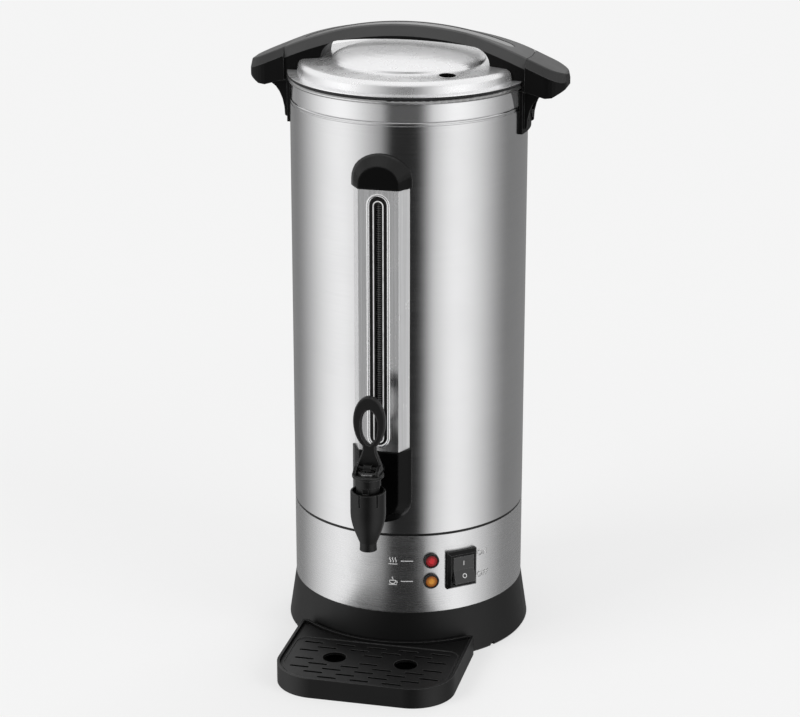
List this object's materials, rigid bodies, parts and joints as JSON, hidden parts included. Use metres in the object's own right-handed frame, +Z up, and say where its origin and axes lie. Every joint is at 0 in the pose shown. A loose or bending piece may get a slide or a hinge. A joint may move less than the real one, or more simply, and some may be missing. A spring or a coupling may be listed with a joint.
{
  "type": "coffee urn",
  "caption": "Electric percolating coffee urn: steel tank on a heated base, lever tap, level gauge, twist-off lid with a carrying bar, side handles, rocker switch and slide-out drip tray.",
  "frame": {"origin": "where the urn's upright axis meets the table, on the plane of the base ring's rim and feet", "axes": "+Z up along the urn's axis, -Y towards the tap and drip tray, +X to the user's right, on the side of the switch"},
  "size_m": [0.2968, 0.3286, 0.5857],
  "materials": {
    "black_plastic": "fine texture, semi-matt",
    "black_gloss": "smooth, glossy",
    "brushed_shell": "fine brushing round the body",
    "polished_steel": "polished",
    "fixings": "plated",
    "alloy": "satin",
    "foot_rubber": "matt",
    "silicone": "matt, milky",
    "clear_tube": "clear",
    "red_lens": "clear red",
    "amber_lens": "clear amber",
    "pins_brass": "plated",
    "ceramic_body": "matt",
    "lead_sleeve": "woven glass sleeve"
  },
  "bodies": {
    "urn": {"base_ring": "black_plastic", "rubber_feet": "foot_rubber", "bottom_plate": "fixings", "bottom_screws": "fixings", "skirt_shell": "brushed_shell", "joint_ring": "black_plastic", "body_shell": "brushed_shell", "tank": "polished_steel", "heater_plate": "alloy", "heating_element": "fixings", "thermostats": "black_plastic", "thermal_fuse": "ceramic_body", "wiring": "lead_sleeve", "power_inlet": "black_plastic", "inlet_pins": "pins_brass", "inlet_screws": "fixings", "switch_body": "black_gloss", "lamp_bezels": "black_gloss", "heating_lens": "red_lens", "warm_lens": "amber_lens", "gauge_guard": "polished_steel", "gauge_insert": "black_plastic", "gauge_tube": "clear_tube", "gauge_seals": "silicone", "gauge_top_cap": "black_plastic", "gauge_lower_cap": "black_plastic", "tap_body": "black_plastic", "shank_washers": "silicone", "shank_nut": "fixings", "tap_nozzle": "black_plastic", "tap_bonnet": "black_plastic", "bonnet_washer": "polished_steel", "tap_spring": "fixings", "handle_left": "black_plastic", "handle_right": "black_plastic", "handle_screws": "fixings"},
    "lid_seal": {"lid_gasket": "foot_rubber"},
    "lid": {"lid_pan": "polished_steel", "lid_bar": "black_plastic", "bar_inlay": "black_gloss", "bar_screws": "fixings", "vent_grommet": "polished_steel"},
    "pump": {"pump_tube": "alloy"},
    "basket": {"coffee_basket": "alloy"},
    "cover": {"basket_cover": "alloy"},
    "valve": {"tap_stem": "black_plastic", "valve_cup": "silicone", "lever_pin": "black_plastic"},
    "lever": {"tap_lever": "black_plastic"},
    "rocker": {"switch_rocker": "black_gloss"},
    "tray": {"drip_tray": "black_plastic"},
    "grille": {"drip_grille": "black_plastic"}
  },
  "joints": [
    {"name": "lid_lift", "type": "slide", "parent": "urn", "child": "lid_seal", "axis": [0, 0, 1], "range_m": [0, 0.45]},
    {"name": "lid_turn", "type": "hinge", "parent": "lid_seal", "child": "lid", "pos_m": [0, 0, 0.541], "axis": [0, 0, 1], "range_deg": [0, 90]},
    {"name": "pump_lift", "type": "slide", "parent": "urn", "child": "pump", "axis": [0, 0, 1], "range_m": [0, 0.36]},
    {"name": "basket_lift", "type": "slide", "parent": "pump", "child": "basket", "axis": [0, 0, 1], "range_m": [0, 0.027]},
    {"name": "cover_lift", "type": "slide", "parent": "basket", "child": "cover", "axis": [0, 0, 1], "range_m": [0, 0.027]},
    {"name": "valve_lift", "type": "slide", "parent": "urn", "child": "valve", "axis": [0, 0, 1], "range_m": [0, 0.004], "deforming": ["tap_spring"]},
    {"name": "lever_pull", "type": "hinge", "parent": "valve", "child": "lever", "pos_m": [0, -0.1615, 0.2104], "axis": [1, 0, 0], "range_deg": [0, 35], "stiffness_Nm_per_rad": 0.6, "springref_deg": -5.73},
    {"name": "switch_rock", "type": "hinge", "parent": "urn", "child": "rocker", "pos_m": [0.07075, -0.08553, 0.08725], "axis": [0.7705, 0.6374, 0], "range_deg": [0, 20]},
    {"name": "tray_slide", "type": "slide", "parent": "urn", "child": "tray", "axis": [0, -1, 0], "range_m": [0, 0.12]},
    {"name": "grille_lift", "type": "slide", "parent": "tray", "child": "grille", "axis": [0, 0, 1], "range_m": [0, 0.05]}
  ],
  "couplings": [
    {"joint": "pump_lift", "follows": "lid_lift", "ratio": 0.8},
    {"joint": "basket_lift", "follows": "lid_lift", "ratio": 0.06},
    {"joint": "cover_lift", "follows": "lid_lift", "ratio": 0.06},
    {"joint": "valve_lift", "follows": "lever_pull", "m_per_rad": 0.0065481}
  ]
}
